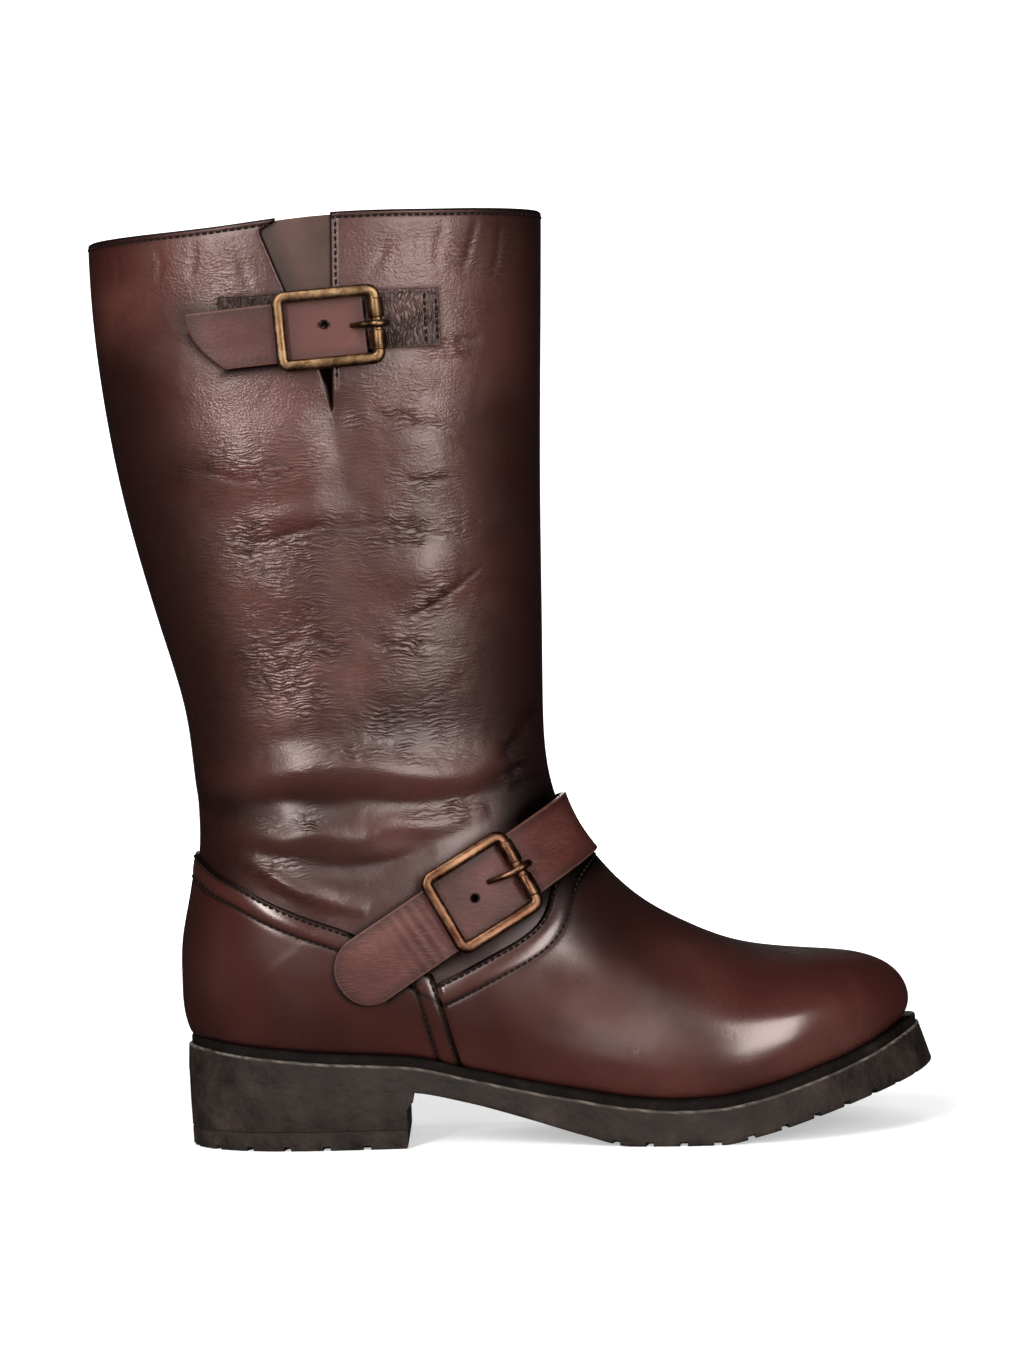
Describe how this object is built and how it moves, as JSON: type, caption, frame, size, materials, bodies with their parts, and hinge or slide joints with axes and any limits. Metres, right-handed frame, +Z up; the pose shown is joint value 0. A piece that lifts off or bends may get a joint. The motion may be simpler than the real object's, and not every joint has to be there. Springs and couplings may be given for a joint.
{
  "type": "mid-calf buckle boot",
  "caption": "Right-foot mid-calf leather boot, hollow and open at the collar, with buckled straps at calf and ankle, welted lugged sole and low block heel.",
  "frame": {"origin": "on the floor under the middle of the boot's bounding box", "axes": "+X towards the toe, +Y towards the inner side of the foot, +Z up the leg"},
  "size_m": [0.3066, 0.1062, 0.345],
  "materials": {
    "sole_rubber": "matte, scuffed along its upper rim",
    "lift_rubber": "matte",
    "welt": "satin black",
    "insole": "plain board",
    "shaft_leather": "burnished, soft folds",
    "vamp_leather": "smooth, polished",
    "gusset": "smooth, dull",
    "dark_strap": "crinkled",
    "strap_leather": "flat, semi-matte",
    "brass": "antique, worn"
  },
  "bodies": {
    "root": {"outsole": "sole_rubber", "heel": "sole_rubber", "heel_lift": "lift_rubber", "welt": "welt", "insole": "insole", "upper": "shaft_leather", "vamp": "vamp_leather", "counter": "vamp_leather", "gusset": "gusset", "calf_strap_base": "dark_strap", "calf_strap": "strap_leather", "ankle_strap": "strap_leather", "calf_buckle": "brass", "calf_prong": "brass", "calf_roller_upper": "brass", "calf_roller_lower": "brass", "ankle_buckle": "brass", "ankle_prong": "brass", "ankle_roller_upper": "brass", "ankle_roller_lower": "brass"}
  },
  "joints": []
}
